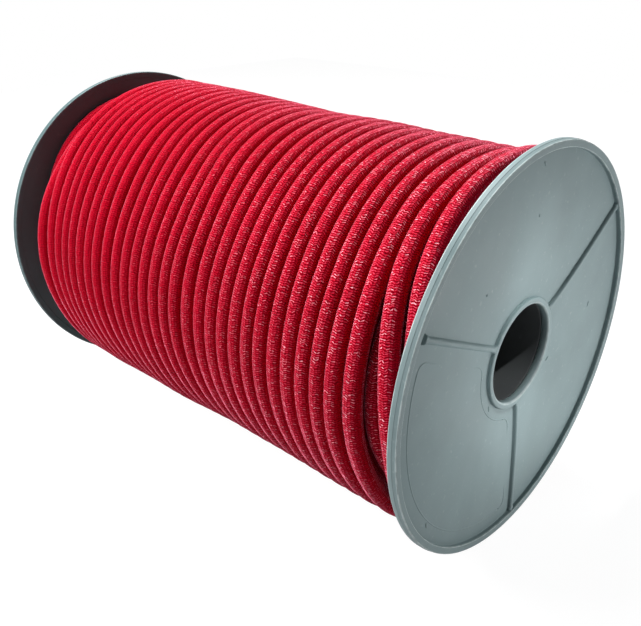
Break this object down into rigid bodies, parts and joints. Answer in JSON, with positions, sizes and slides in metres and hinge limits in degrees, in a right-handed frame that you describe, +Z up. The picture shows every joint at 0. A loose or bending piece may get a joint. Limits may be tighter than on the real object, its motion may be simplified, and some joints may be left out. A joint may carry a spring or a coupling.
{
  "type": "spool of shock cord",
  "caption": "Braided elastic shock cord wound full on a moulded plastic spool with two ribbed, lipped flanges and a through bore for a spindle.",
  "frame": {"origin": "on the ground under the middle of the spool, which lies on the rims of both flanges", "axes": "+X along the spool's axis towards the near flange, +Z up, +Y level across the spool"},
  "size_m": [0.282, 0.1848, 0.1847],
  "materials": {
    "spool_plastic": "grey moulded plastic, satin, faintly dished and scuffed",
    "cord_sheath": "crimson braided sheath with a fine pale speckle",
    "cord_rubber": "bundle of pale rubber strands, cut square"
  },
  "bodies": {
    "root": {"near_flange": "spool_plastic", "far_flange": "spool_plastic", "core_tube": "spool_plastic", "cord_inner_layers": "cord_sheath", "cord_outer_layer": "cord_sheath", "rubber_core_end": "cord_rubber"}
  },
  "joints": []
}
